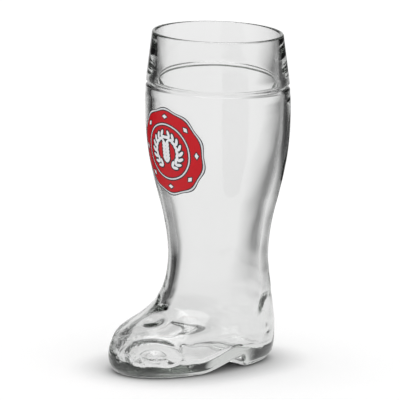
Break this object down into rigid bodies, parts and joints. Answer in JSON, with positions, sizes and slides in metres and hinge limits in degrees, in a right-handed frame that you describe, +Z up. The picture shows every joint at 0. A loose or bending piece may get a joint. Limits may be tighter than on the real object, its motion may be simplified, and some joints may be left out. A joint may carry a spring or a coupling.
{
  "type": "beer boot glass",
  "caption": "Thick clear glass in the shape of a riding boot, with a collar band at the mouth, a hollow foot and a printed round badge, for drinking beer.",
  "frame": {"origin": "bottom centre of the bounding box, on the table, on the boot's middle plane", "axes": "+Z up to the mouth, -Y toward the toe, +X toward the boot's left side"},
  "size_m": [0.1044, 0.1412, 0.2399],
  "materials": {
    "soda_glass": "clear, glossy, fire polished",
    "ink_grey": "satin fired print",
    "ink_red": "glossy fired print",
    "ink_dark": "glossy fired print",
    "ink_silver": "satin fired print"
  },
  "bodies": {
    "root": {"boot_glass": "soda_glass", "badge_ground": "ink_grey", "badge_red": "ink_red", "badge_dark": "ink_dark", "badge_silver": "ink_silver"}
  },
  "joints": []
}
